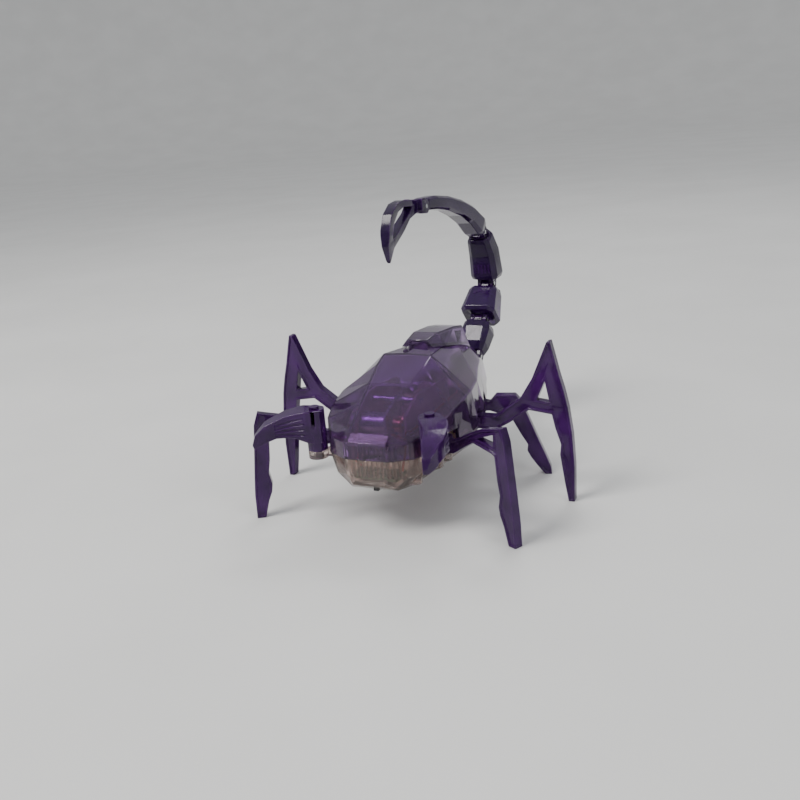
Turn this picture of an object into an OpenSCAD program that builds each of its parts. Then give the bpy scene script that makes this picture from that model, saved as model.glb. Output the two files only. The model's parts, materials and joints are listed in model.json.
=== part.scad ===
// Scorpion-shaped walking robot with six swinging legs, two swivelling pincers
// and a posable five-piece tail. +Z is up, the head points along -Y, and the
// soles of the feet stand on z = 0. The right half mirrors the left half.

/* [Shells] */
// Wall thickness of the moulded shells
wall = 1.2; // [1:0.1:1.4]
// Height of the seam between the top shell and the lower chassis
seam_z = 24.5; // [24.3:0.1:24.7]
// Height of the belly's underside
belly_z = 10.5; // [10.2:0.1:10.6]

/* [Legs] */
// Swing of a leg each way about its upright pin, in degrees
leg_swing = 12; // [8:1:14]
// Distance from a leg's pin to the peg or slot that drives it
leg_arm = 4.2; // [4:0.1:4.3]
// Radius of the upright leg pins
leg_pin_r = 0.8; // [0.7:0.05:0.85]
// Radius of the hub around a leg's pin
hub_r = 2.4; // [2.2:0.1:2.5]
// Thickness of a front leg's blade
front_blade = 2.8; // [2.4:0.1:3]
// Thickness of a middle leg's blade
mid_blade = 3; // [2.6:0.1:3.2]
// Thickness of a rear leg's blade
rear_blade = 3.2; // [2.8:0.1:3.4]

/* [Pincers] */
// Direction of the left pincer at rest, degrees in front of sideways
left_pincer_turn = 71; // [68:1:78]
// Direction of the right pincer at rest, degrees in front of sideways
right_pincer_turn = 32; // [30:1:36]

/* [Gear train] */
// Gear module
gear_module = 0.5; // [0.48:0.01:0.5]
// Radius of the motor's can
motor_r = 3.5; // [3:0.1:3.5]

/* [Power] */
// Diameter of a button cell
cell_d = 11.6; // [11:0.1:11.6]
// Thickness of a button cell
cell_h = 5.4; // [5:0.1:5.4]

/* [Tail] */
// Radius of the cross pins in the tail
tail_pin_r = 0.7; // [0.6:0.05:0.8]
// Radius of the round knuckle at each tail joint
knuckle_r = 2.2; // [2:0.1:2.3]
// Thickness of the middle tongue of each tail knuckle
tongue_w = 3; // [2.6:0.1:3.2]

/* [Hidden] */
shift_y = -23;       // from the origin of the body lines to the middle of the robot's length
run = 0.05;          // radial running clearance
gap = 0.3;           // clearance between parts that move past each other
eps = 0.01;

violet = [0.33, 0.13, 0.56, 0.8];
smoke = [0.62, 0.56, 0.5, 0.45];
steel = [0.72, 0.73, 0.75];
brass = [0.83, 0.68, 0.36];
white_gear = [0.92, 0.91, 0.87];
black = [0.08, 0.08, 0.09];

// --- top shell: half sections from head to tail root ---
// Each row is y, rim x, rim z, shoulder x, shoulder z, crown x, crown z, ridge z
shell_rows = [
    [-31, 7, seam_z, 7, 27.8, 6.6, 29.8, 29.8],
    [-27, 13.5, seam_z, 13.5, 30, 6.7, 32.2, 32.2],
    [-18, 18.8, seam_z, 18.5, 32.2, 6.8, 37.6, 37.6],
    [-11, 21, seam_z, 20.2, 34.2, 6.8, 41.8, 41.8],
    [-2, 22.4, seam_z, 21, 35.8, 8, 45, 45],
    [4, 22.6, seam_z, 20.6, 35.8, 8.2, 46.8, 47.2],
    [18.6, 20, seam_z, 17.4, 34.5, 6.2, 45.6, 48.2],
    [33, 15.2, seam_z, 12.8, 34.5, 5.6, 43, 45],
    [45, 11.2, seam_z, 9.4, 34, 5.2, 39.2, 41.2],
    [54, 8.4, seam_z, 7.2, 31, 4.6, 35, 36.6]];

// --- lower chassis: y, rim x, waist x, waist z, belly x, belly z ---
bowl_rows = [
    [-31, 7, 6.6, 20, 5, 16.6],
    [-27, 13.5, 11.8, 18.4, 7.4, 14.2],
    [-18, 18.8, 16.2, 18.2, 8.8, 12.4],
    [0, 22.5, 18, 17.6, 9.6, belly_z + 0.4],
    [18.6, 20, 16.4, 17, 9.6, belly_z],
    [33, 15.2, 13, 16.5, 8.8, belly_z],
    [39, 13.3, 11.6, 17, 8, belly_z + 0.6],
    [45, 11.2, 10.4, 20, 7.4, 17.2],
    [54, 8.4, 8.2, 23.4, 7.6, 22.4]];

// --- upright leg pins, left side ---
front_pin = [17.2, -12];
mid_pin = [17.9, 9];
rear_pin = [13.5, 24];
front_turn = -29;
rear_turn = 12;
panel_rim = 0.7;
panel_deep = 0.35;
hub_z0 = 21.6;
hub_z1 = 26.6;
frame_z0 = 28;
frame_h = 1.4;
boss_z = 21.2;

// --- cranks and link bars ---
pinion_teeth = 8;
wheel_teeth = 32;
crank_y = 9;
crank_z = 24;
throw = leg_arm * sin(leg_swing);
crank_pin_r = 0.75;
disc_r = 3;
disc_x = [8.9, 9.9];
yoke_x = [10.2, 11.6];
web_x = [11.8, 12.4];
fork_x = [13.1, 14.3];
slot_half_y = 2 * throw + crank_pin_r + 0.2;
slot_half_z = throw + crank_pin_r + 0.15;
bar_z = [18.2, 20];
peg_r = 0.7;

// --- gear shafts, each [y, z] on lines along X ---
motor_at = [-15, 30];
shaft_a = [-7, 24];
shaft_b = [1, 30];
shaft_c = [crank_y, crank_z];
plate_x = [7.6, 8.6];
gear_pin_r = 0.6;
crankshaft_r = 1;
spacer_r = 1;
spacers = [[-17.5, 20.5], [1, 18], [-8, 35.5], [12, 34]];

// --- battery ---
cell_y = 30;
cell_z = 13.2;

// --- pincers ---
pincer_pin = [18.5, -25.5];
pincer_pin_r = 1;

// --- tail hinges, each [y, z], and the width and depth of each segment's ends ---
hinges = [[64.5, 29.5], [73.5, 41.5], [84.4, 53.6], [76.6, 74.4], [21, 90.4]];

// ---------------------------------------------------------------- helpers

module placed() translate([0, shift_y, 0]) children();

// Moves a child that was drawn on the left to the side wanted
module side(right) mirror([right ? 1 : 0, 0, 0]) children();

// Skin over a list of rings that have the same number of points
module loft(rings) {
    n = len(rings[0]);
    m = len(rings);
    walls = [for (k = [0:m - 2], i = [0:n - 1], t = [0, 1])
        t == 0 ? [k * n + i, k * n + (i + 1) % n, (k + 1) * n + (i + 1) % n]
               : [k * n + i, (k + 1) * n + (i + 1) % n, (k + 1) * n + i]];
    first = [for (i = [1:n - 2]) [0, i + 1, i]];
    last = [for (i = [1:n - 2]) [(m - 1) * n, (m - 1) * n + i, (m - 1) * n + i + 1]];
    polyhedron([for (r = rings) each r], concat(first, last, walls), convexity = 6);
}

// Plate of even thickness between two x values from a (y, z) outline
module x_plate(x0, x1) {
    translate([x0, 0, 0]) rotate([90, 0, 90]) linear_extrude(x1 - x0) children();
}

// Rod along X centred on (y, z)
module x_rod(at, r, x0, x1, faces = 32) {
    translate([x0, at[0], at[1]]) rotate([0, 90, 0]) cylinder(r = r, h = x1 - x0, $fn = faces);
}

// Round post along Z
module post(at, r, z0, z1, faces = 32) {
    translate([at[0], at[1], z0]) cylinder(r = r, h = z1 - z0, $fn = faces);
}

// Round tube that follows a list of points
module lead(path, r) {
    sides = 8;
    last = len(path) - 1;
    rings = [for (i = [0:last])
        let (d = path[min(i + 1, last)] - path[max(i - 1, 0)],
            f = d / norm(d),
            side_raw = cross(f, abs(f[2]) > 0.8 ? [0, 1, 0] : [0, 0, 1]),
            u = side_raw / norm(side_raw),
            v = cross(u, f))
        [for (k = [0:sides - 1]) path[i] + r * (cos(360 * k / sides) * u + sin(360 * k / sides) * v)]];
    loft(rings);
}

// Straight-sided gear in the XY plane, centred on the origin, one tooth on +X
module gear_outline(teeth, turn = 0) {
    pitch = teeth * gear_module / 2;
    root = pitch - 1.2 * gear_module;
    tip = pitch + 0.9 * gear_module;
    step = 360 / teeth;
    rotate(turn) polygon([for (i = [0:teeth - 1], k = [[-0.30, root], [-0.11, tip], [0.11, tip], [0.30, root]])
        k[1] * [cos(step * (i + k[0])), sin(step * (i + k[0]))]]);
}

// Gear along X at (y, z): the outline's +X becomes +Y
module x_gear(at, teeth, x0, x1, turn = 0) {
    translate([x0, at[0], at[1]]) rotate([90, 0, 90]) linear_extrude(x1 - x0) gear_outline(teeth, turn);
}

// ---------------------------------------------------------------- shells

function shell_ring(r, inset, y, drop) = [
    [r[1] - inset, y, r[2] - drop], [r[3] - inset, y, r[4] - 0.6 * inset], [r[5] - 0.4 * inset, y, r[6] - inset],
    [0, y, r[7] - inset], [-r[5] + 0.4 * inset, y, r[6] - inset], [-r[3] + inset, y, r[4] - 0.6 * inset],
    [-r[1] + inset, y, r[2] - drop]];

module shell_solid(inset, drop, front, back) {
    last = len(shell_rows) - 1;
    loft([for (i = [0:last])
        shell_ring(shell_rows[i], inset, shell_rows[i][0] + (i == 0 ? front : i == last ? back : 0), drop)]);
}

function bowl_ring(r, inset, y, rise) = [
    [r[1] - inset, y, seam_z + rise], [-r[1] + inset, y, seam_z + rise], [-r[2] + inset, y, r[3] + 0.3 * inset],
    [-r[4] + 0.5 * inset, y, r[5] + inset], [r[4] - 0.5 * inset, y, r[5] + inset], [r[2] - inset, y, r[3] + 0.3 * inset]];

module bowl_solid(inset, rise, front, back) {
    last = len(bowl_rows) - 1;
    loft([for (i = [0:last])
        bowl_ring(bowl_rows[i], inset, bowl_rows[i][0] + (i == 0 ? front : i == last ? back : 0), rise)]);
}

// Room for a leg's root and its swing through the side of the shells
module leg_window(pin, turn, half, top) {
    translate([pin[0], pin[1], boss_z]) rotate(turn) translate([-3, -half, 0]) cube([15, 2 * half, top - boss_z]);
}

module leg_windows() {
    for (s = [0, 1]) side(s == 1) {
        leg_window(front_pin, front_turn, 3.4, 28.6);
        leg_window(mid_pin, 0, 3.2, 28);
        leg_window(rear_pin, rear_turn, 3.7, 28);
    }
}

// Each post is x, y and the height of its foot
screw_posts = [[11, -21.5, 14.8], [-11, -21.5, 14.8], [8.2, 41, 13.4], [-8.2, 41, 13.4]];
screw_sink = 1.6;

module carapace() {
    color(violet) placed() difference() {
        shell_solid(0, 0, 0, 0);
        shell_solid(wall, 2, wall, 2);
        leg_windows();
    }
}

// Raised plate over the tail root: y, base x, base z, top x, top z
hood_rows = [[12, 5.4, 47, 3.4, 49.4], [20, 7, 45.6, 4.4, 50], [33, 7.4, 42.6, 4.8, 48.8],
    [41, 7.4, 40, 4.8, 47.4], [43.4, 6.8, 39, 4.2, 45]];

module hood_solid(inset, drop, front, back) {
    last = len(hood_rows) - 1;
    loft([for (i = [0:last])
        let (r = hood_rows[i], y = r[0] + (i == 0 ? front : i == last ? back : 0))
        [[r[1] - inset, y, r[2] - drop], [r[3] - 0.6 * inset, y, r[4] - inset], [-r[3] + 0.6 * inset, y, r[4] - inset],
            [-r[1] + inset, y, r[2] - drop]]]);
}

module tail_hood() {
    color(violet) placed() difference() {
        hood_solid(0, 0, 0, 0);
        hood_solid(1, 3, -1, 2);
        shell_solid(-0.1, 0, 0, 0);
    }
}

module lower_chassis() {
    color(smoke) placed() difference() {
        union() {
            difference() {
                bowl_solid(0, 0, 0, 0);
                bowl_solid(wall, 2, wall, -6);
            }
            for (s = [0, 1]) side(s == 1) {
                for (p = [front_pin, mid_pin, rear_pin]) post(p, 1.8, boss_z - 2.2, boss_z);
                translate([rear_pin[0], rear_pin[1] - 0.6, boss_z - 2.2]) cube([2.2, 1.2, 2.2]);
                post(pincer_pin, 3, seam_z - 2.2, seam_z);
                translate([13.2, -24.6, seam_z - 2.2]) cube([3.6, 2.6, 2.2]);
            }
            for (p = screw_posts) post(p, 1.9, p[2], frame_z0);
            post([0, cell_y], cell_d / 2 + 1.4, belly_z + wall - eps, cell_z + 2 * cell_h);
            post([0, door_screw_y], 2, belly_z + wall + 0.2, 16);
        }
        post([0, cell_y], cell_d / 2 + 0.3, belly_z + wall, 40);
        post([0, cell_y], door_r + 0.15, 0, 20);
        translate([-2.65, door_screw_y - 2.15, 0]) cube([5.3, 5, belly_z + wall]);
        post([0, door_screw_y], 0.6, 10, 15);
        for (s = [0, 1]) side(s == 1) {
            for (p = [front_pin, mid_pin, rear_pin]) post(p, leg_pin_r, boss_z - 1.6, 40);
            post(pincer_pin, pincer_pin_r, 20, 40);
        }
        for (p = screw_posts) {
            post(p, 0.75, 0, 40);
            post(p, 1.45, 0, p[2] + screw_sink);
        }
        translate([-2.6, switch_y - 1.1, 5]) cube([5.2, 2.2, 11]);
        translate([3.6, 22, belly_z + wall]) cube([3, 8, 1.6]);
        leg_windows();
    }
}

door_r = 6.3;
door_screw_y = cell_y - 8.8;
switch_y = -24.5;
switch_z = 15.5;
slider_z = 12.6;

module hinge_frame() {
    color(smoke) placed() translate([0, 0, frame_z0]) difference() {
        linear_extrude(frame_h) difference() {
            union() {
                polygon(concat(frame_edge, [for (i = [len(frame_edge) - 1:-1:0]) [-frame_edge[i][0], frame_edge[i][1]]]));
                for (s = [-1, 1], p = [front_pin, mid_pin, rear_pin]) translate([s * p[0], p[1]]) circle(r = 1.35, $fn = 32);
            }
            translate([-9.2, -22.6]) square([18.4, 41]);
            translate([-12.8, -19.4]) square([5, 8.8]);
            translate([0, cell_y]) circle(r = 7, $fn = 48);
        }
        for (s = [-1, 1], p = [front_pin, mid_pin, rear_pin]) translate([s * p[0], p[1], -1]) cylinder(r = leg_pin_r, h = 4, $fn = 32);
        for (p = screw_posts) translate([p[0], p[1], -1]) cylinder(r = 0.75, h = 4, $fn = 24);
    }
}

frame_edge = [[5.6, -28], [10.6, -25.4], [15.6, -17.5], [17.6, -11], [19, -2], [19.1, 6], [16.6, 18.6], [12, 33], [8.8, 43.5]];

// ---------------------------------------------------------------- gearbox

plate_edge = [[-20, 18.2], [-16, 17.6], [-2, 15.6], [-2, belly_z + 1.8], [4, belly_z + 1.8], [4, 16], [13, 20.5],
    [14.4, 27], [14.4, 34], [12.5, 36.3], [-6, 38], [-10, 38], [-19.6, 34.6]];

module gear_plate(right) {
    difference() {
        x_plate(plate_x[0], plate_x[1]) polygon(plate_edge);
        for (p = spacers) x_rod(p, 0.5, 0, 20, 24);
        for (p = [shaft_a, shaft_b]) x_rod(p, gear_pin_r, 0, 20, 24);
        x_rod(shaft_c, crankshaft_r + run, 0, 20);
        if (right) x_rod(motor_at, motor_r + 0.02, 0, 20, 48);
    }
}

module gear_plate_left() {
    color(smoke) placed() gear_plate(false);
}

module gear_plate_right() {
    color(smoke) placed() side(true) gear_plate(true);
}

module plate_spacers() {
    color(steel) placed() for (p = spacers) {
        x_rod(p, spacer_r, -plate_x[0], plate_x[0], 24);
        for (s = [0, 1]) side(s == 1) {
            x_rod(p, 0.5, plate_x[0], plate_x[1], 24);
            x_rod(p, spacer_r, plate_x[1], plate_x[1] + 0.3, 24);
        }
    }
}

motor_plate_x = [1.2, 2];

module motor_plate() {
    color(steel) placed() difference() {
        x_plate(motor_plate_x[0], motor_plate_x[1])
            polygon([[-19.4, 18.6], [-15.6, 18.6], [-12, 25], [-6.2, 33.4], [-6.2, 37.2], [-10, 37.2], [-19.4, 33.8]]);
        x_rod(motor_at, 1.25, 0, 4);
        for (p = [spacers[0], spacers[2]]) x_rod(p, spacer_r, 0, 4, 24);
    }
}

motor_x = [-9.8, 1.2];

module motor_can() {
    color(steel) placed() difference() {
        union() {
            x_rod(motor_at, motor_r, motor_x[0], motor_x[1], 48);
            x_rod(motor_at, 1.2, motor_x[1] - eps, motor_x[1] + 0.8);
        }
        x_rod(motor_at, motor_r - 0.4, motor_x[0] - 1, motor_x[1] - 0.4, 48);
        x_rod(motor_at, 0.5 + run, 0, 4, 24);
    }
}

module motor_end_cap() {
    color("white") placed() {
        difference() {
            union() {
                x_rod(motor_at, motor_r, motor_x[0] - 0.6, motor_x[0], 48);
                x_rod(motor_at, motor_r - 0.45, motor_x[0] - eps, motor_x[0] + 1, 48);
            }
            x_rod(motor_at, 0.5 + run, -20, 0, 24);
        }
        for (s = [-1, 1]) translate([motor_x[0] - 1.8, motor_at[0] + s * 2 - 0.5, motor_at[1] - 0.1]) cube([1.2 + eps, 1, 0.2]);
    }
}

module motor_shaft() {
    color(steel) placed() {
        x_rod(motor_at, 0.5, motor_x[0] - 0.4, 5, 24);
        x_rod(motor_at, 2.4, -6.5, -0.6, 32);
    }
}

module motor_pinion() {
    color(brass) placed() difference() {
        x_gear(motor_at, pinion_teeth, 2.5, 4.9, mesh_turn(motor_at, shaft_a, pinion_teeth, false));
        x_rod(motor_at, 0.5, 0, 8, 24);
    }
}

// Turn that points a tooth (or a gap) of a gear at its neighbour's shaft
function mesh_turn(from, to, teeth, gap_there) =
    atan2(to[1] - from[1], to[0] - from[0]) + (gap_there ? 180 / teeth : 0);

module gear_pins() {
    color(steel) placed() for (p = [shaft_a, shaft_b]) x_rod(p, gear_pin_r, -plate_x[1], plate_x[1], 24);
}

// Compound gear: a wheel driven by the shaft before it and a pinion for the next
module compound_gear(at, before, after, wheel, pinion, hub) {
    difference() {
        union() {
            x_gear(at, wheel_teeth, wheel[0], wheel[1], mesh_turn(at, before, wheel_teeth, true));
            x_gear(at, pinion_teeth, pinion[0], pinion[1], mesh_turn(at, after, pinion_teeth, false));
            x_rod(at, 1.25, hub[0], hub[1], 24);
        }
        x_rod(at, gear_pin_r + run, -20, 20, 24);
    }
}

module gear_a() {
    color(white_gear) placed() compound_gear(shaft_a, motor_at, shaft_b, [2.8, 4.2], [4.2 - eps, 7.2], [2.6, 7.3]);
}

module gear_b() {
    color(white_gear) placed() compound_gear(shaft_b, shaft_a, shaft_c, [4.9, 6.1], [-1, 2.5], [-1.2, 6.4]);
}

module crank_gear() {
    color(white_gear) placed() difference() {
        union() {
            x_gear(shaft_c, wheel_teeth, -0.8, 0.6, mesh_turn(shaft_c, shaft_b, wheel_teeth, true));
            x_rod(shaft_c, 1.9, -2.4, 2.2);
        }
        x_rod(shaft_c, crankshaft_r, -20, 20);
    }
}

module crankshaft() {
    color(steel) placed() x_rod(shaft_c, crankshaft_r, -disc_x[1], disc_x[1]);
}

// Two-throw crank: the inner pin drives the link bar, the outer pin the middle leg
module crank(phase) {
    inner = shaft_c + [phase * throw, 0];
    outer = shaft_c - [phase * throw, 0];
    difference() {
        x_rod(shaft_c, disc_r, disc_x[0], disc_x[1], 48);
        x_rod(shaft_c, crankshaft_r, 0, disc_x[1] + 1);
    }
    x_rod(inner, crank_pin_r, disc_x[1] - eps, web_x[0] + eps, 24);
    x_plate(web_x[0], web_x[1]) union() {
        for (p = [inner, outer]) translate(p) circle(r = crank_pin_r + 0.3, $fn = 24);
        translate([crank_y - throw, crank_z - 1.05]) square([2 * throw, 2.1]);
    }
    x_rod(outer, crank_pin_r, web_x[1] - eps, fork_x[1] - 0.2, 24);
}

module crank_left() {
    color(brass) placed() crank(1);
}

module crank_right() {
    color(brass) placed() side(true) crank(-1);
}

// Bar that joins the front and rear legs of one side, with its yoke for the crank
module link_bar() {
    peg_f = [front_pin[0] - leg_arm, front_pin[1]];
    peg_r2 = [rear_pin[0] - leg_arm, rear_pin[1]];
    difference() {
        union() {
            translate([0, 0, bar_z[0]]) linear_extrude(bar_z[1] - bar_z[0])
                polygon([[11.2, -14], [14.8, -14], [14.8, 15], [11.1, 20.4], [11.1, 26], [7.5, 26], [7.5, 19], [10.2, 14.6],
                    [10.2, -8]]);
            x_plate(yoke_x[0], yoke_x[1])
                polygon([[crank_y - 4.2, bar_z[1] - eps], [crank_y + 4.2, bar_z[1] - eps], [crank_y + 3.8, 27.2],
                    [crank_y - 3.8, 27.2]]);
        }
        x_plate(yoke_x[0] - 1, yoke_x[1] + 1)
            translate([crank_y - slot_half_y, crank_z - slot_half_z]) square([2 * slot_half_y, 2 * slot_half_z]);
        for (p = [peg_f, peg_r2]) translate([p[0], p[1], bar_z[0] - 1]) linear_extrude(5)
            square([2 * peg_r + 0.7, 2 * peg_r + 0.16], center = true);
        translate([12, 2, bar_z[0] - 1]) linear_extrude(5) square([1.6, 4], center = true);
    }
}

module link_bar_left() {
    color(brass) placed() link_bar();
}

module link_bar_right() {
    color(brass) placed() side(true) link_bar();
}

// ---------------------------------------------------------------- legs

// Blade outline in the leg's own upright plane, drawn as (reach, height)
front_blade_edge = [[1, 22], [5, 22.5], [10.4, 25.9], [13.9, 28], [21.7, 26.6], [22.8, 26], [23.4, 19], [24.2, 14.8],
    [23.5, 11], [23.9, 8.6], [25.2, 5.6], [26.8, 0], [29.6, 0], [29.4, 8], [28.8, 14], [27.7, 24], [26.9, 31], [25.5, 34.8],
    [22.7, 34.1], [17.7, 33], [13.2, 31], [7.8, 28], [3, 26.2], [1, 26]];
front_blade_hole = [[15.2, 29.5], [22.6, 28.7], [22.6, 32.4]];
mid_blade_edge = [[1, 22.2], [9, 22.2], [13.5, 24.9], [19.6, 29.2], [26.7, 28.2], [27.6, 24], [29.3, 18.6], [28.9, 15.4],
    [30.2, 6], [31.2, 0], [33.1, 0], [33.3, 12], [32.8, 22], [31.7, 30.5], [30.5, 36], [29.1, 41], [27.7, 47],
    [26.7, 51], [25.7, 50.8], [20.9, 39.4], [17, 33], [12.4, 29.6], [9, 26.7], [1, 26.6]];
mid_blade_hole = [[22.1, 32.5], [26.1, 31.9], [24.8, 38.6]];
rear_blade_edge = [[1, 22.4], [5.7, 22.6], [8.4, 21.6], [10.9, 22.6], [13.2, 19], [15.8, 14], [17.8, 10.6], [17.5, 8.4],
    [18.7, 6], [20.8, 3], [23.2, 0], [25.4, 0], [25.2, 2.4], [23.5, 7], [21.3, 12.4], [18.2, 20.4], [15.9, 26],
    [14.3, 27.9], [7.9, 28], [5.8, 25.6], [1, 26.4]];

// Upright blade: an outline of reach and height given an even thickness
module blade(edge, thick) {
    rotate([90, 0, 0]) translate([0, 0, -thick / 2]) linear_extrude(thick) polygon(edge);
}

// Shallow panels sunk into both faces of a blade, inside an even rim
module blade_panels(edge, hole, thick) {
    for (s = [-1, 1]) rotate([90, 0, 0]) translate([0, 0, s * thick / 2 - panel_deep]) linear_extrude(2 * panel_deep)
        difference() {
            offset(delta = -panel_rim) polygon(edge);
            if (len(hole) > 0) offset(delta = panel_rim) polygon(hole);
            translate([-5, 0]) square([5 + hub_r + 1, 60]);
        }
}

module leg(pin, turn, thick, edge, hole, pegged) {
    translate([pin[0], pin[1], 0]) difference() {
        union() {
            rotate(turn) difference() {
                blade(edge, thick);
                if (len(hole) > 0) blade(hole, thick + 2);
                blade_panels(edge, hole, thick);
            }
            post([0, 0], hub_r, hub_z0, hub_z1);
            if (pegged) {
                translate([-leg_arm - 1.3, -1.4, hub_z0]) cube([leg_arm + 1, 2.8, 1.8]);
                post([-leg_arm, 0], peg_r, bar_z[0] - 0.5, hub_z0 + 0.5, 24);
            } else {
                translate([fork_x[1] - pin[0] - eps, -3.9, crank_z - slot_half_z - 1.2]) cube([0.9, 7.8, 2 * slot_half_z + 2.4]);
                translate([fork_x[1] - pin[0], -1.2, hub_z0]) cube([2.2, 2.4, hub_z1 - hub_z0]);
                translate([fork_x[0] - pin[0], -3.9, crank_z - slot_half_z - 1.2])
                    cube([fork_x[1] - fork_x[0], 7.8, 2 * slot_half_z + 2.4]);
            }
        }
        if (!pegged) translate([fork_x[0] - pin[0] - 1, -slot_half_y, crank_z - slot_half_z])
            cube([fork_x[1] - fork_x[0] + 1 + 0.4, 2 * slot_half_y, 2 * slot_half_z]);
        post([0, 0], leg_pin_r + run, 0, 40);
    }
}

module front_leg(right) {
    color(violet) placed() side(right) leg(front_pin, front_turn, front_blade, front_blade_edge, front_blade_hole, true);
}

module mid_leg(right) {
    color(violet) placed() side(right) leg(mid_pin, 0, mid_blade, mid_blade_edge, mid_blade_hole, false);
}

module rear_leg(right) {
    color(violet) placed() side(right) leg(rear_pin, rear_turn, rear_blade, rear_blade_edge, [], true);
}

module leg_pins() {
    color(steel) placed() for (s = [0, 1], p = [front_pin, mid_pin, rear_pin]) side(s == 1) {
        post(p, leg_pin_r, boss_z - 1.6, frame_z0 + frame_h);
        post(p, leg_pin_r + 0.35, frame_z0 + frame_h, frame_z0 + frame_h + 0.5);
    }
}

// ---------------------------------------------------------------- pincers

// Side view as (reach, height) and plan as (reach, outward)
pincer_side = [[-2.9, 27.4], [3, 28], [7, 29.6], [12, 30], [15, 29.2], [18.8, 27.4], [19.2, 28.8], [18.2, 31.6],
    [15, 34.4], [9, 36.4], [3, 37.6], [-2.9, 37.6]];
pincer_plan = [[-2.9, 1.2], [-1.3, 3], [0, 3.4], [4, 5.2], [8, 5.4], [13, 4.2], [17, 1.9], [19.6, -0.6], [19.2, -1.5],
    [15.4, -1.8], [10, -1.4], [6.4, -1.8], [2.6, -3.1], [-1.4, -2.9], [-2.9, -1.3]];

// Long shallow grooves along a pincer's flanks, closer together towards the tip
module pincer_grooves() {
    for (k = [0:3]) translate([3.6, 0, 30.2 + 1.7 * k]) rotate([0, 5 * k - 4, 0]) linear_extrude(0.6) difference() {
        translate([0, -8]) square([8.6, 16]);
        translate([-3.6, 0]) offset(delta = -0.35) polygon(pincer_plan);
    }
}

module pincer() {
    difference() {
        union() {
            difference() {
                intersection() {
                    rotate([90, 0, 0]) translate([0, 0, -10]) linear_extrude(20) polygon(pincer_side);
                    linear_extrude(60) polygon(pincer_plan);
                }
                pincer_grooves();
            }
            post([0, 0], 3, seam_z + gap, 37.4);
        }
        post([0, 0], pincer_pin_r + run, 0, 60);
    }
}

module pincer_left() {
    color(violet) placed() translate([pincer_pin[0], pincer_pin[1], 0]) rotate(-left_pincer_turn) pincer();
}

module pincer_right() {
    color(violet) placed() side(true) translate([pincer_pin[0], pincer_pin[1], 0]) rotate(-right_pincer_turn) pincer();
}

module pincer_pins() {
    color(steel) placed() for (s = [0, 1]) side(s == 1) {
        post(pincer_pin, pincer_pin_r, seam_z - 2.2, 37.8);
        post(pincer_pin, 1.5, 37.8, 38.3);
    }
}

// ---------------------------------------------------------------- power and wiring

module button_cells() {
    color(steel) placed() for (k = [0, 1]) translate([0, cell_y, cell_z + k * cell_h]) {
        cylinder(d = cell_d, h = cell_h - 0.6, $fn = 48);
        translate([0, 0, cell_h - 0.6]) cylinder(d = cell_d - 2.4, h = 0.6, $fn = 48);
    }
}

module battery_contact() {
    color(brass) placed() translate([0, cell_y, cell_z + 2 * cell_h]) {
        cylinder(r = 4, h = 0.4, $fn = 32);
        translate([2.4, -1, 0]) cube([4.4, 2, 0.4]);
    }
}

module battery_spring() {
    color(brass) placed() translate([0, cell_y, belly_z + 1.1]) rotate_extrude($fn = 40)
        polygon([[2.2, 1.2], [4.6, 0], [5, 0], [5, 0.3], [2.6, 1.6], [2.2, 1.6]]);
}

module battery_door() {
    color(smoke) placed() difference() {
        union() {
            post([0, cell_y], door_r, belly_z, belly_z + 1.1, 48);
            translate([-2.5, door_screw_y - 2, belly_z]) cube([5, 5, 1.1]);
        }
        post([0, door_screw_y], 0.7, 0, 20, 24);
        post([0, door_screw_y], 1.55, 0, belly_z + 0.6, 24);
        for (k = [-1:1]) translate([-3, cell_y + 2 + 1.2 * k, belly_z - 1]) cube([6, 0.5, 1.3]);
    }
}

// Cross-recessed screw head, its top at z = 0 and the shank pointing along +Z
module screw(head_r, head_h, shank_r, length) {
    difference() {
        cylinder(r = head_r, h = head_h, $fn = 24);
        for (a = [0, 90]) rotate(a) translate([-head_r * 0.6, -0.15, -1]) cube([head_r * 1.2, 0.3, 1.35]);
    }
    translate([0, 0, head_h - eps]) cylinder(r = shank_r, h = length, $fn = 24);
}

module door_screw() {
    color(steel) placed() translate([0, door_screw_y, belly_z]) screw(1.45, 0.6, 0.6, 3.6);
}

module body_screws() {
    color(steel) placed() for (p = screw_posts)
        translate([p[0], p[1], p[2] + screw_sink - 0.9]) screw(1.4, 0.9, 0.75, frame_z0 + frame_h - p[2] - screw_sink);
}

board_z = 17.4;

module circuit_board() {
    color("darkgreen") placed() {
        translate([-7.2, -27.4, board_z]) cube([14.4, 7.4, 0.8]);
        translate([-2, -25.6, board_z + 0.8 - eps]) cube([4, 3, 1]);
        for (x = [-6, 3.6]) translate([x, -27, board_z + 0.8 - eps]) cube([1.6, 0.9, 0.6]);
    }
}

module switch_body() {
    color(black) placed() translate([-3.6, switch_y - 1.9, switch_z]) difference() {
        cube([7.2, 3.8, board_z - switch_z]);
        translate([1, 0.8, -1]) cube([5.2, 2.2, 2.4]);
    }
}

module switch_slider() {
    color(black) placed() {
        translate([-1.4, switch_y - 0.7, slider_z]) cube([1.6, 1.4, switch_z + 0.4 - slider_z]);
        translate([-1.8, switch_y - 0.9, switch_z + 0.1]) cube([2.4, 1.8, 1.1]);
    }
}

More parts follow.
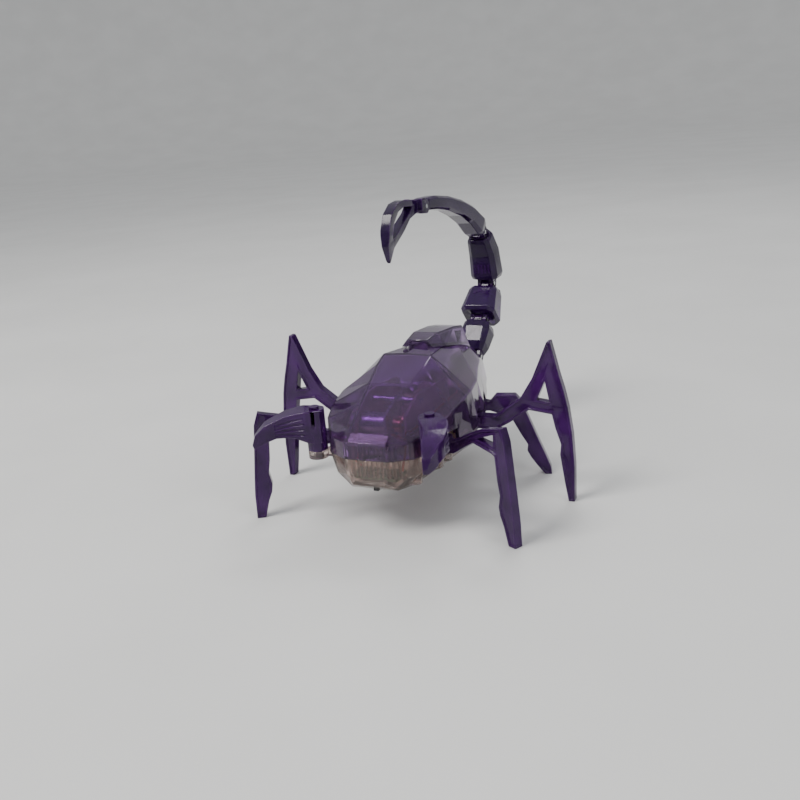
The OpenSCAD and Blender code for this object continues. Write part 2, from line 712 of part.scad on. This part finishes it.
red_route = [[5.6, 30, 24.85], [5.4, 28.4, 27.4], [5.4, 27.4, 29.8], [6.8, 25.2, 30.4], [9.4, 21, 30.1], [10, 18, 29.95],
    [10, 8, 29.95], [10, -4, 29.95], [10, -15, 29.95], [9.7, -19.6, 29.95], [8.9, -21.3, 29.9], [8.4, -21.9, 28.4],
    [8, -21.8, 25], [7, -22, 21], [6.5, -22.3, 18.65]];
black_route = [[4.4, 28, 12.4], [5.5, 24, 12.4], [5.5, 12, 12.5], [5.5, 0, 12.8], [5.5, -12, 13.8], [5.4, -17, 14.3],
    [5.2, -20, 15.6], [5, -21, 16.95]];
motor_route = [[-11.4, -17, 29.5], [-11.2, -18, 27.4], [-9.5, -19.5, 24.4], [-8.5, -20.9, 21.8], [-7.3, -21.9, 20.2],
    [-6.7, -22.7, 18.65]];
motor_route_2 = [[-11.4, -13, 29.5], [-11.8, -15, 26], [-11.2, -17.9, 23.6], [-9.5, -19.5, 22], [-8.5, -20.8, 20],
    [-6.6, -21, 19.2], [-5.6, -21.6, 18.7]];
lead_r = 0.4;

module battery_lead_red() {
    color("firebrick") placed() lead(red_route, lead_r);
}

module battery_lead_black() {
    color(black) placed() lead(black_route, lead_r);
}

module motor_leads() {
    color("firebrick") placed() {
        lead(motor_route, 0.35);
        lead(motor_route_2, 0.35);
    }
}

// ---------------------------------------------------------------- tail

// One ring across a segment, square to its axis: an octagon of given width and depth
function tail_ring(at, angle, w, d) =
    let (c = 0.17, o = [[1, 1 - 2 * c], [1 - 2 * c, 1], [-1 + 2 * c, 1], [-1, 1 - 2 * c], [-1, -1 + 2 * c],
            [-1 + 2 * c, -1], [1 - 2 * c, -1], [1, -1 + 2 * c]])
    [for (p = o) [p[0] * w / 2, at[0] - p[1] * d / 2 * sin(angle), at[1] + p[1] * d / 2 * cos(angle)]];

// Hinge knuckles: the lower piece has the tongue, the upper piece the two ears
module tongue(at, toward) {
    f = (toward - at) / norm(toward - at);
    x_plate(-tongue_w / 2, tongue_w / 2) union() {
        translate(at) circle(r = knuckle_r, $fn = 40);
        polygon([at + knuckle_r * [-f[1], f[0]], at + knuckle_r * [f[1], -f[0]],
            at + 3.4 * f + knuckle_r * [f[1], -f[0]], at + 3.4 * f + knuckle_r * [-f[1], f[0]]]);
    }
}

module ears(at, toward) {
    f = (toward - at) / norm(toward - at);
    x0 = tongue_w / 2 + gap / 2;
    for (s = [0, 1]) side(s == 1) x_plate(x0, x0 + 1.5) union() {
        translate(at) circle(r = knuckle_r, $fn = 40);
        polygon([at + knuckle_r * [-f[1], f[0]], at + knuckle_r * [f[1], -f[0]],
            at + 3.4 * f + knuckle_r * [f[1], -f[0]], at + 3.4 * f + knuckle_r * [-f[1], f[0]]]);
    }
}

// Space swept by a neighbour's knuckle
module knuckle_room(at, x) {
    x_rod(at, knuckle_r + gap, -x, x, 40);
}

knuckle_x = tongue_w / 2 + gap / 2 + 1.5;

// Rings of a segment: [y, z, direction, width, depth]
segment_1 = [[65.6, 30.8, 47, 7, 6.2], [67.4, 33, 49, 9, 8.6], [71.2, 37.6, 51, 10.8, 10.4], [72.6, 39.6, 49, 9.8, 9.4]];
segment_2 = [[74.1, 42.2, 45, 12.2, 12], [75, 43.2, 46, 13.4, 13.6], [82, 50.4, 56, 11, 10.4], [83.2, 51.8, 64, 9.6, 8.8]];
segment_3 = [[85, 55.8, 92, 9.8, 9], [84.9, 57.2, 94, 10.8, 10], [82.8, 66, 108, 10, 9.4], [79, 72, 120, 8.6, 8],
    [78.1, 73.2, 122, 7.4, 6.8]];
segment_4 = [[75, 75.8, 132, 7, 7], [72.6, 77.6, 138, 8, 8], [64, 82.4, 152, 7.4, 6.6], [54, 86, 162, 6.8, 5.6],
    [43, 88.8, 168, 6, 4.8], [32, 90.4, 175, 5.2, 4.4], [25.6, 90.7, 180, 4.6, 4], [23.8, 90.6, 182, 3.8, 3.4]];

module segment_body(rows) {
    loft([for (r = rows) tail_ring([r[0], r[1]], r[2], r[3], r[4])]);
}

// A middle segment carries ears at its lower hinge and a tongue at its upper hinge
module segment(rows, low, high) {
    first = [rows[0][0], rows[0][1]];
    last = [rows[len(rows) - 1][0], rows[len(rows) - 1][1]];
    difference() {
        union() {
            difference() {
                segment_body(rows);
                knuckle_room(low, tongue_w / 2 + gap / 2);
                knuckle_room(high, 8);
            }
            ears(low, first);
            tongue(high, last);
        }
        x_rod(low, tail_pin_r + run, -10, 10, 24);
        x_rod(high, tail_pin_r, -10, 10, 24);
    }
}

module tail_mount() {
    color(violet) placed() difference() {
        union() {
            x_plate(-3, 3) polygon([[46, seam_z], [54, seam_z], [62, 27.5], [61.6, 31.4], [54, 33], [46, 34]]);
            tongue(hinges[0], [56, 28.6]);
        }
        knuckle_ear_room();
        x_rod(hinges[0], tail_pin_r, -10, 10, 24);
        x_plate(-10, 10) translate([50, 30]) circle(r = 2, $fn = 32);
    }
}

module knuckle_ear_room() {
    for (s = [0, 1]) side(s == 1) x_rod(hinges[0], knuckle_r + gap, tongue_w / 2, 10, 40);
}

module tail_segment_1() {
    color(violet) placed() segment(segment_1, hinges[0], hinges[1]);
}

module tail_segment_2() {
    color(violet) placed() segment(segment_2, hinges[1], hinges[2]);
}

module tail_segment_3() {
    color(violet) placed() segment(segment_3, hinges[2], hinges[3]);
}

module tail_segment_4() {
    color(violet) placed() segment(segment_4, hinges[3], hinges[4]);
}

// Side outline of the stinger and of the eye through it
sting_edge = [[18, 92.6], [12, 93.4], [7, 93.9], [2, 93.4], [-2.4, 90.9], [-5, 86.6], [-5.8, 81.8], [-4.6, 77.4],
    [-3.9, 76.7], [-3.4, 77.2], [-1.2, 80.8], [5, 84.2], [11, 87.8], [18, 89.2]];
sting_eye = [[13.4, 91.4], [7, 91.9], [2.6, 90.9], [-0.8, 88.2], [-2.6, 84.4], [-2, 83.4], [5, 87], [11, 89.6]];

module stinger() {
    color(violet) placed() difference() {
        union() {
            intersection() {
                x_plate(-1.7, 1.7) difference() {
                    polygon(sting_edge);
                    polygon(sting_eye);
                }
                translate([0, 20, 0]) rotate([90, 0, 0]) linear_extrude(30)
                    polygon([[-0.4, 76], [0.4, 76], [1.5, 85], [1.5, 95], [-1.5, 95], [-1.5, 85]]);
            }
            x_plate(-knuckle_x, knuckle_x) polygon([[17, 89.4], [17.6, 88.9], [18.4, 89], [18.4, 92.8], [17, 93]]);
            ears(hinges[4], [17, 90.8]);
        }
        knuckle_room(hinges[4], tongue_w / 2 + gap / 2);
        x_rod(hinges[4], tail_pin_r + run, -10, 10, 24);
    }
}

module tail_pin(k) {
    color(steel) placed() x_rod(hinges[k], tail_pin_r, -knuckle_x, knuckle_x, 24);
}

// ---------------------------------------------------------------- nodes

carapace();
tail_hood();
lower_chassis();
hinge_frame();
gear_plate_left();
gear_plate_right();
plate_spacers();
motor_plate();
motor_can();
motor_end_cap();
motor_shaft();
motor_pinion();
gear_pins();
gear_a();
gear_b();
crank_gear();
crankshaft();
crank_left();
crank_right();
link_bar_left();
link_bar_right();
front_leg(false);  // leg_front_left
front_leg(true);  // leg_front_right
mid_leg(false);  // leg_mid_left
mid_leg(true);  // leg_mid_right
rear_leg(false);  // leg_rear_left
rear_leg(true);  // leg_rear_right
leg_pins();
pincer_left();
pincer_right();
pincer_pins();
button_cells();
battery_contact();
battery_spring();
battery_door();
door_screw();
circuit_board();
switch_body();
switch_slider();
battery_lead_red();
battery_lead_black();
motor_leads();
body_screws();
tail_mount();
tail_segment_1();
tail_segment_2();
tail_segment_3();
tail_segment_4();
stinger();
tail_pin(0);  // tail_pin_1
tail_pin(1);  // tail_pin_2
tail_pin(2);  // tail_pin_3
tail_pin(3);  // tail_pin_4
tail_pin(4);  // tail_pin_5
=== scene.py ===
"""Looks for the scorpion-shaped walking robot.

Glossy translucent violet mouldings over a clear smoky chassis, with the works showing through,
on a pale floor in soft studio light. Lengths are in metres, in the CAD frame, except where a
comment says millimetres.
"""

import json
import math

import bmesh
import bpy
from mathutils import Matrix, Vector
from mathutils.bvhtree import BVHTree


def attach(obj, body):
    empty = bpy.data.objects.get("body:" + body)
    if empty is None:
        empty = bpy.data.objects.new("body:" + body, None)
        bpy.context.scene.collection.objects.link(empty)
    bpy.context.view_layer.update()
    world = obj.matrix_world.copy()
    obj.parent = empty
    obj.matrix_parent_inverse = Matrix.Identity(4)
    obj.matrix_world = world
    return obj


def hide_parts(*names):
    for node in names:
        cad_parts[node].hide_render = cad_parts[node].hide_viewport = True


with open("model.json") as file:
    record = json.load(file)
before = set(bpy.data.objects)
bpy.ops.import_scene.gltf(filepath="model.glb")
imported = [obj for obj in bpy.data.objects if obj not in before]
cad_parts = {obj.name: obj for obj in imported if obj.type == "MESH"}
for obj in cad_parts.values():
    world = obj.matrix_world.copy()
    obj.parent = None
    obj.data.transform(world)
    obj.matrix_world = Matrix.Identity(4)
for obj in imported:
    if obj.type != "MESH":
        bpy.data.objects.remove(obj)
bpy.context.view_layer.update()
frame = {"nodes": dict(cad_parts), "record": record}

MM = 0.001
NODES = frame["nodes"]
RECORD = frame["record"]
SLOT_OF = {row["node"]: row["material_slot"] for row in RECORD["subparts"]}
BODY_OF = {n: body for body, names in RECORD["behaviour"]["bodies"].items() for n in names}

# ---- materials


class Nodes:
    """A material's node tree, with short calls to add and join nodes."""

    def __init__(self, name):
        self.material = bpy.data.materials.new(name)
        self.material.use_nodes = True
        self.tree = self.material.node_tree
        self.shader = self.tree.nodes["Principled BSDF"]
        self.coords = self.add("ShaderNodeTexCoord").outputs["Object"]

    def add(self, kind, **settings):
        made = self.tree.nodes.new(kind)
        for key, value in settings.items():
            setattr(made, key, value)
        return made

    def join(self, source, target):
        self.tree.links.new(source, target)

    def noise(self, scale, detail=3.0, rough=0.5, stretch=(1, 1, 1)):
        """Noise over the CAD frame's coordinates; scale is in cycles per metre."""
        mapping = self.add("ShaderNodeMapping")
        mapping.inputs["Scale"].default_value = stretch
        self.join(self.coords, mapping.inputs["Vector"])
        made = self.add("ShaderNodeTexNoise")
        made.inputs["Scale"].default_value = scale
        made.inputs["Detail"].default_value = detail
        made.inputs["Roughness"].default_value = rough
        self.join(mapping.outputs["Vector"], made.inputs["Vector"])
        return made.outputs["Fac"]

    def ramp(self, source, stops):
        """Turns a number into a colour; each stop is a place from 0 to 1 and its colour."""
        made = self.add("ShaderNodeValToRGB")
        bar = made.color_ramp
        while len(bar.elements) < len(stops):
            bar.elements.new(0.5)
        for element, (place, colour) in zip(bar.elements, stops):
            element.position = place
            element.color = (*colour, 1)
        self.join(source, made.inputs["Fac"])
        return made.outputs["Color"]

    def spread(self, source, low, high, start=0.3, end=0.7):
        """Maps start..end to low..high, held at both ends."""
        made = self.add("ShaderNodeMapRange")
        limits = (("From Min", start), ("From Max", end), ("To Min", low), ("To Max", high))
        for key, value in limits:
            made.inputs[key].default_value = value
        self.join(source, made.inputs["Value"])
        return made.outputs["Result"]

    def mix(self, factor, first, second):
        """Blends from a colour output to a plain colour as the factor goes from 0 to 1."""
        made = self.add("ShaderNodeMix", data_type="RGBA")
        self.join(factor, made.inputs["Factor"])
        self.join(first, made.inputs["A"])
        made.inputs["B"].default_value = (*second, 1)
        return made.outputs["Result"]

    def edges(self, radius):
        """1 along sharp edges, fading to 0 within the radius."""
        rounded = self.add("ShaderNodeBevel", samples=4)
        rounded.inputs["Radius"].default_value = radius
        flat = self.add("ShaderNodeNewGeometry")
        dot = self.add("ShaderNodeVectorMath", operation="DOT_PRODUCT")
        self.join(rounded.outputs["Normal"], dot.inputs[0])
        self.join(flat.outputs["Normal"], dot.inputs[1])
        return self.spread(dot.outputs["Value"], low=1.0, high=0.0, start=0.86, end=0.99)

    def bump(self, source, distance, strength=0.3):
        made = self.add("ShaderNodeBump")
        made.inputs["Distance"].default_value = distance
        made.inputs["Strength"].default_value = strength
        self.join(source, made.inputs["Height"])
        self.join(made.outputs["Normal"], self.shader.inputs["Normal"])

    def set(self, **values):
        """Sets the shader's own inputs, named with _ for each space."""
        for key, value in values.items():
            self.shader.inputs[key.replace("_", " ")].default_value = value


# Width of the painted highlight along the mouldings' edges.
LARGE_EDGE_HIGHLIGHT = 0.4 * MM
# Width of the paler band along the edges of metal and solid plastic.
SMALL_EDGE_BAND = 0.25 * MM
PLASTIC_IOR = 1.49
PLASTIC_GLOSS = 0.22
EDGE_SHINE = 1.25


def moulded_plastic(name, deep, light, clear, rough, pale_edge):
    """Glossy plastic that lets light through: flow marks, smudges and paler edges painted as a
    highlight.
    """
    n = Nodes(name)
    flow = n.noise(90, detail=4, rough=0.6, stretch=(1, 0.35, 1))
    tint = n.ramp(flow, [(0.3, deep), (0.72, light)])
    # The pale colour mixed in along the edges is a painted highlight.
    n.join(n.mix(n.edges(LARGE_EDGE_HIGHLIGHT), tint, pale_edge), n.shader.inputs["Base Color"])
    smudge = n.noise(260, detail=5, rough=0.65)
    n.join(n.spread(smudge, rough, rough + 0.14, start=0.42, end=0.75),
        n.shader.inputs["Roughness"])
    n.bump(n.noise(620, detail=3, rough=0.5), distance=0.06 * MM, strength=0.25)
    n.set(Transmission_Weight=clear, IOR=PLASTIC_IOR, Specular_IOR_Level=PLASTIC_GLOSS)
    return n.material


def metal(name, base, dark, rough, grain=(1, 1, 14)):
    """Drawn or plated metal with fine streaks along the grain and brighter edges."""
    n = Nodes(name)
    streaks = n.noise(900, detail=3, rough=0.6, stretch=grain)
    tint = n.ramp(n.noise(160, detail=4, rough=0.6), [(0.3, dark), (0.65, base)])
    bright = tuple(min(1.0, c * EDGE_SHINE) for c in base)
    n.join(n.mix(n.edges(SMALL_EDGE_BAND), tint, bright), n.shader.inputs["Base Color"])
    n.join(n.spread(streaks, rough - 0.06, rough + 0.1), n.shader.inputs["Roughness"])
    n.bump(streaks, distance=0.02 * MM, strength=0.2)
    n.set(Metallic=1.0)
    return n.material


def solid_plastic(name, base, dark, rough, pale_edge):
    """Plastic that light doesn't pass through, with a fine moulded grain."""
    n = Nodes(name)
    tint = n.ramp(n.noise(180, detail=4, rough=0.6), [(0.3, dark), (0.7, base)])
    n.join(n.mix(n.edges(SMALL_EDGE_BAND), tint, pale_edge), n.shader.inputs["Base Color"])
    n.join(n.spread(n.noise(700), rough - 0.05, rough + 0.12), n.shader.inputs["Roughness"])
    n.bump(n.noise(2600, detail=2, rough=0.5), distance=0.03 * MM, strength=0.25)
    n.set(Subsurface_Weight=0.08, Subsurface_Scale=0.6 * MM)
    return n.material


def board_material(name):
    """Green solder mask with fine copper tracks under it."""
    n = Nodes(name)
    weave = n.noise(1500, detail=2, rough=0.5, stretch=(1, 8, 1))
    mask = n.ramp(n.noise(300, detail=3, rough=0.5),
        [(0.35, (0.01, 0.10, 0.04)), (0.7, (0.03, 0.19, 0.08))])
    tracks = n.spread(n.noise(420, detail=0, rough=0.0, stretch=(6, 1, 1)),
        low=0.0, high=0.55, start=0.56, end=0.6)
    n.join(n.mix(tracks, mask, (0.22, 0.34, 0.10)), n.shader.inputs["Base Color"])
    n.join(n.spread(weave, low=0.28, high=0.42), n.shader.inputs["Roughness"])
    n.bump(weave, distance=0.02 * MM, strength=0.3)
    return n.material


def rubber(name, base, dark):
    """The soft covering of a lead."""
    n = Nodes(name)
    tint = n.ramp(n.noise(400, detail=3, rough=0.5), [(0.3, dark), (0.7, base)])
    n.join(tint, n.shader.inputs["Base Color"])
    n.join(n.spread(n.noise(900), low=0.38, high=0.55), n.shader.inputs["Roughness"])
    n.bump(n.noise(2400, detail=2), distance=0.03 * MM, strength=0.3)
    return n.material


# Painted highlight colour for the edges of the limbs and the tail.
LIMB_EDGE_HIGHLIGHT = (0.13, 0.03, 0.22)
# In the moulded plastics, the pale edge colour is a painted highlight.
MATERIALS = {
    "violet_shell": moulded_plastic("violet_shell", deep=(0.20, 0.09, 0.29),
        light=(0.34, 0.18, 0.44), clear=0.93, rough=0.05, pale_edge=(0.42, 0.25, 0.54)),
    "violet_hood": moulded_plastic("violet_hood", deep=(0.24, 0.14, 0.33),
        light=(0.40, 0.27, 0.50), clear=0.93, rough=0.07, pale_edge=(0.50, 0.38, 0.60)),
    "violet_limb": moulded_plastic("violet_limb", deep=(0.022, 0.004, 0.045),
        light=(0.085, 0.014, 0.16), clear=0.5, rough=0.1, pale_edge=LIMB_EDGE_HIGHLIGHT),
    "violet_tail": moulded_plastic("violet_tail", deep=(0.010, 0.002, 0.026),
        light=(0.040, 0.008, 0.09), clear=0.45, rough=0.1, pale_edge=LIMB_EDGE_HIGHLIGHT),
    "smoke_clear": moulded_plastic("smoke_clear", deep=(0.60, 0.47, 0.43),
        light=(0.77, 0.64, 0.60), clear=0.94, rough=0.06, pale_edge=(0.84, 0.77, 0.73)),
    "steel": metal("steel", base=(0.66, 0.67, 0.69), dark=(0.44, 0.45, 0.47), rough=0.26),
    "brass": metal("brass", base=(0.80, 0.60, 0.27), dark=(0.58, 0.40, 0.15), rough=0.28),
    "gear_plastic": solid_plastic("gear_plastic", base=(0.86, 0.80, 0.66),
        dark=(0.74, 0.67, 0.52), rough=0.38, pale_edge=(0.95, 0.92, 0.84)),
    "cell_metal": metal("cell_metal", base=(0.80, 0.80, 0.81), dark=(0.62, 0.62, 0.64),
        rough=0.16, grain=(1, 1, 1)),
    "board": board_material("board"),
    "black_plastic": solid_plastic("black_plastic", base=(0.035, 0.035, 0.04),
        dark=(0.015, 0.015, 0.018), rough=0.42, pale_edge=(0.11, 0.11, 0.12)),
    "lead_red": rubber("lead_red", base=(0.60, 0.04, 0.03), dark=(0.42, 0.02, 0.02)),
    "lead_black": rubber("lead_black", base=(0.045, 0.045, 0.05), dark=(0.02, 0.02, 0.02)),
}


def paint(obj, name):
    obj.data.materials.clear()
    obj.data.materials.append(MATERIALS[name])


for node, obj in NODES.items():
    paint(obj, SLOT_OF[node])

# ---- mouldings made from the CAD shapes

WELD_DISTANCE = 0.01 * MM
FLAT_ANGLE = math.radians(0.6)
MOST_CORNERS = 4


def merged(node):
    """The CAD node as a bmesh of flat faces, without its tessellation's needless edges.

    The faces with many corners are split again, because a bevel can't be trusted with them.
    """
    bm = bmesh.new()
    bm.from_mesh(NODES[node].data)
    bmesh.ops.remove_doubles(bm, verts=bm.verts, dist=WELD_DISTANCE)
    bmesh.ops.dissolve_limit(bm, angle_limit=FLAT_ANGLE, verts=bm.verts, edges=bm.edges)
    many_cornered = [face for face in bm.faces if len(face.verts) > MOST_CORNERS]
    bmesh.ops.triangulate(bm, faces=many_cornered)
    return bm


def new_object(name, bm):
    """A new object from a bmesh, with plain geometry only."""
    bm.verts.index_update()
    verts = [vert.co[:] for vert in bm.verts]
    faces = [[vert.index for vert in face.verts] for face in bm.faces]
    bm.free()
    mesh = bpy.data.meshes.new(name)
    mesh.from_pydata(verts, [], faces)
    mesh.validate()
    obj = bpy.data.objects.new(name, mesh)
    bpy.context.scene.collection.objects.link(obj)
    return obj


BEVEL_SEGMENTS = 2
CURVED_ANGLE = 24
FACET_ANGLE = 5


def soften(obj, width, angle):
    """Rounds the edges sharper than the angle, in degrees, and smooths the shading of the rest."""
    bevel = obj.modifiers.new("edges", "BEVEL")
    bevel.width = width
    bevel.segments = BEVEL_SEGMENTS
    bevel.limit_method = "ANGLE"
    bevel.angle_limit = math.radians(angle)
    bevel.use_clamp_overlap = False
    bevel.miter_outer = "MITER_ARC"
    for face in obj.data.polygons:
        face.use_smooth = True
    obj.data.set_sharp_from_angle(angle=math.radians(angle))


def refine(node, width, paint_name=None, angle=CURVED_ANGLE):
    """A stand-in for a CAD node with the same shape and rounded edges."""
    obj = new_object(node + "_moulding", merged(node))
    soften(obj, width, angle)
    paint(obj, paint_name or SLOT_OF[node])
    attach(obj, BODY_OF[node])
    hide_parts(node)


SIDES = ("left", "right")
SHELL_EDGE = 0.22 * MM
LIMB_EDGE = 0.16 * MM
SMALL_EDGE = 0.08 * MM

refine("carapace", SHELL_EDGE, angle=FACET_ANGLE)
refine("tail_hood", SHELL_EDGE, "violet_hood", angle=FACET_ANGLE)
refine("lower_chassis", SMALL_EDGE)
for row in ("front", "mid", "rear"):
    for where in SIDES:
        refine(f"leg_{row}_{where}", LIMB_EDGE)
for where in SIDES:
    refine(f"pincer_{where}", LIMB_EDGE)
for k in (1, 2, 3, 4):
    refine(f"tail_segment_{k}", SHELL_EDGE, angle=FACET_ANGLE)
refine("stinger", LIMB_EDGE)
refine("tail_mount", LIMB_EDGE)
for node in ("gear_plate_left", "gear_plate_right", "link_bar_left", "link_bar_right",
        "battery_door", "hinge_frame"):
    refine(node, SMALL_EDGE)

# ---- small details built as meshes, in millimetres


def surface(node):
    """A tree for finding points on a CAD node's surface."""
    bm = bmesh.new()
    bm.from_mesh(NODES[node].data)
    bm.transform(NODES[node].matrix_world)
    tree = BVHTree.FromBMesh(bm)
    bm.free()
    return tree


def block(corners):
    """Eight corners, four of one side and then the four across from them, as a closed block."""
    return corners, [
        (3, 2, 1, 0), (4, 5, 6, 7), (0, 1, 5, 4), (1, 2, 6, 5), (2, 3, 7, 6), (3, 0, 4, 7)]


def add_detail(name, blocks, node):
    """Many small blocks as one object that moves with a node's body and has its material."""
    verts, faces = [], []
    for corners, sides in blocks:
        faces += [tuple(i + len(verts) for i in side) for side in sides]
        verts += corners
    mesh = bpy.data.meshes.new(name)
    mesh.from_pydata(verts, [], faces)
    obj = bpy.data.objects.new(name, mesh)
    bpy.context.scene.collection.objects.link(obj)
    paint(obj, SLOT_OF[node])
    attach(obj, BODY_OF[node])


INSIDE_Y = -37.0
RIB_HALF_WIDTH = 0.2
RIB_SINK = 0.15
RIB_PIECES = 4
RIB_PITCH = 1.5


def wall_ribs(name, node, places, low, high, depth):
    """Upright fins at x places on the inside of a shell's front wall, between two heights."""
    tree = surface(node)
    blocks = []
    outline = ((-RIB_HALF_WIDTH, -RIB_SINK), (RIB_HALF_WIDTH, -RIB_SINK),
        (RIB_HALF_WIDTH, depth), (-RIB_HALF_WIDTH, depth))
    for x in places:
        rows = []
        for k in range(RIB_PIECES + 1):
            z = low + (high - low) * k / RIB_PIECES
            hit = tree.ray_cast(Vector((x, INSIDE_Y, z)) * MM, Vector((0, -1, 0)))[0]
            rows.append((z, None if hit is None else hit.y / MM))
        for (z0, y0), (z1, y1) in zip(rows, rows[1:]):
            if y0 is None or y1 is None:
                continue
            corners = [(x + a, y + b, z) for z, y in ((z0, y0), (z1, y1)) for a, b in outline]
            blocks.append(block([tuple(c * MM for c in corner) for corner in corners]))
    add_detail(name, blocks, node)


BOWL_RIBS = [RIB_PITCH * k for k in range(-6, 7)]
CHIN_RIBS = [RIB_PITCH * (k + 0.5) for k in range(-6, 6)]
wall_ribs("bowl_ribs", "lower_chassis", BOWL_RIBS, low=18.9, high=24.2, depth=0.9)
wall_ribs("chin_ribs", "carapace", CHIN_RIBS, low=24.7, high=28.2, depth=0.8)

BEFORE_TAIL_Y = -80.0
BAR_SINK = 0.12
BAR_LIFT = 0.16


def face_bars(name, node, bars):
    """Low bars laid on the side of a node that faces -Y; each is two (x, z) ends and a width."""
    tree = surface(node)
    blocks = []
    for (x0, z0), (x1, z1), width in bars:
        along = Vector((x1 - x0, 0, z1 - z0)).normalized()
        across = Vector((along.z, 0, -along.x)) * width / 2
        corners = []
        for out in (-BAR_SINK, BAR_LIFT):
            for (x, z), s in (((x0, z0), -1), ((x0, z0), 1), ((x1, z1), 1), ((x1, z1), -1)):
                spot = Vector((x, 0, z)) + across * s
                start = Vector((spot.x, BEFORE_TAIL_Y, spot.z)) * MM
                hit, normal = tree.ray_cast(start, Vector((0, 1, 0)))[:2]
                corners.append(tuple(hit + normal * out * MM))
        blocks.append(block(corners))
    add_detail(name, blocks, node)


BAND_BARS = [((x, 58.4), (x, 61.6), 0.55) for x in (-2.7, -1.35, 0, 1.35, 2.7)]
CHEVRON = [((-2.4, 51.6), (0, 52.4), 0.5), ((0, 52.4), (2.4, 51.6), 0.5)]
face_bars("tail_band_bars", "tail_segment_3", BAND_BARS)
face_bars("tail_chevron", "tail_segment_2", CHEVRON)

# ---- light, floor and camera


def stage_object(name, verts, faces, material):
    """A smooth-shaded object that isn't part of the toy."""
    mesh = bpy.data.meshes.new(name)
    mesh.from_pydata(verts, [], faces)
    obj = bpy.data.objects.new(name, mesh)
    bpy.context.scene.collection.objects.link(obj)
    mesh.materials.append(material)
    for face in mesh.polygons:
        face.use_smooth = True


def floor_material():
    """Matt pale paper with a barely visible mottle."""
    n = Nodes("floor")
    tint = n.ramp(n.noise(9, detail=3, rough=0.5),
        [(0.35, (0.70, 0.70, 0.69)), (0.65, (0.74, 0.74, 0.73))])
    n.join(tint, n.shader.inputs["Base Color"])
    n.join(n.spread(n.noise(60, detail=4), low=0.5, high=0.62), n.shader.inputs["Roughness"])
    n.bump(n.noise(1400, detail=3), distance=0.05 * MM, strength=0.15)
    return n.material


FLAT_RADIUS = 3.0
CURVE_RADIUS = 1.5
BACKDROP_TOP = 2.5
CURVE_STEPS = 16
AROUND = 96


def dish_profile():
    """The floor from its flat part's rim outwards, curving up into a wall, as (radius, z)."""
    turns = [math.pi / 2 * k / CURVE_STEPS for k in range(CURVE_STEPS + 1)]
    bend = [(FLAT_RADIUS + CURVE_RADIUS * math.sin(turn), CURVE_RADIUS * (1 - math.cos(turn)))
        for turn in turns]
    return bend + [(FLAT_RADIUS + CURVE_RADIUS, BACKDROP_TOP)]


def dish(profile):
    """The profile turned about the vertical axis, with a flat middle, as vertices and faces."""
    headings = [2 * math.pi * k / AROUND for k in range(AROUND)]
    verts = [(0.0, 0.0, 0.0)] + [(radius * math.cos(heading), radius * math.sin(heading), z)
        for radius, z in profile for heading in headings]
    faces = []
    for k in range(AROUND):
        following = (k + 1) % AROUND
        faces.append((0, 1 + k, 1 + following))
        for row in range(len(profile) - 1):
            inner, outer = 1 + row * AROUND, 1 + (row + 1) * AROUND
            faces.append((inner + k, outer + k, outer + following, inner + following))
    return verts, faces


stage_object("floor", *dish(dish_profile()), floor_material())


def area_light(name, place, aim, size, power, colour):
    """A soft rectangular light at a place, turned towards the aim."""
    data = bpy.data.lights.new(name, "AREA")
    data.shape = "RECTANGLE"
    data.size, data.size_y = size
    data.energy = power
    data.color = colour
    obj = bpy.data.objects.new(name, data)
    bpy.context.scene.collection.objects.link(obj)
    obj.location = place
    obj.rotation_mode = "QUATERNION"
    obj.rotation_quaternion = (Vector(aim) - Vector(place)).to_track_quat("-Z", "Y")


MIDDLE = (0, 0, 0.04)
area_light("key", (-0.35, -0.45, 0.75), MIDDLE, size=(0.35, 0.35), power=6.5,
    colour=(1.0, 0.98, 0.95))
area_light("fill", (0.7, -0.35, 0.45), MIDDLE, size=(0.3, 0.2), power=1.2,
    colour=(0.93, 0.96, 1.0))
area_light("back", (-0.05, 0.6, 0.8), MIDDLE, size=(0.4, 0.2), power=1.6,
    colour=(1.0, 1.0, 1.0))

SKY_COLOUR = (0.80, 0.81, 0.83)
SKY_STRENGTH = 0.85
world = bpy.data.worlds.new("studio")
world.use_nodes = True
sky = world.node_tree.nodes["Background"].inputs
sky["Color"].default_value = (*SKY_COLOUR, 1)
sky["Strength"].default_value = SKY_STRENGTH
bpy.context.scene.world = world

CAMERA_PLACE = Vector((0.1124, -0.2684, 0.1177))
CAMERA_TURN = math.radians(25)
CAMERA_DOWN = math.radians(17.4)
CAMERA_ROLL = math.radians(-4.85)
LENS_MM = 40.5
SENSOR_MM = 36
NEAREST = 0.01


def make_camera():
    """A camera turned about the vertical from looking along +Y, tipped down and rolled."""
    look = Vector((-math.sin(CAMERA_TURN) * math.cos(CAMERA_DOWN),
        math.cos(CAMERA_TURN) * math.cos(CAMERA_DOWN), -math.sin(CAMERA_DOWN)))
    level = Vector((math.cos(CAMERA_TURN), math.sin(CAMERA_TURN), 0))
    rise = level.cross(look)
    right = level * math.cos(CAMERA_ROLL) + rise * math.sin(CAMERA_ROLL)
    up = rise * math.cos(CAMERA_ROLL) - level * math.sin(CAMERA_ROLL)
    data = bpy.data.cameras.new("camera")
    data.lens = LENS_MM
    data.sensor_width = SENSOR_MM
    data.clip_start = NEAREST
    obj = bpy.data.objects.new("camera", data)
    bpy.context.scene.collection.objects.link(obj)
    turned = Matrix((right, up, -look)).transposed().to_4x4()
    obj.matrix_world = Matrix.Translation(CAMERA_PLACE) @ turned
    bpy.context.scene.camera = obj


make_camera()
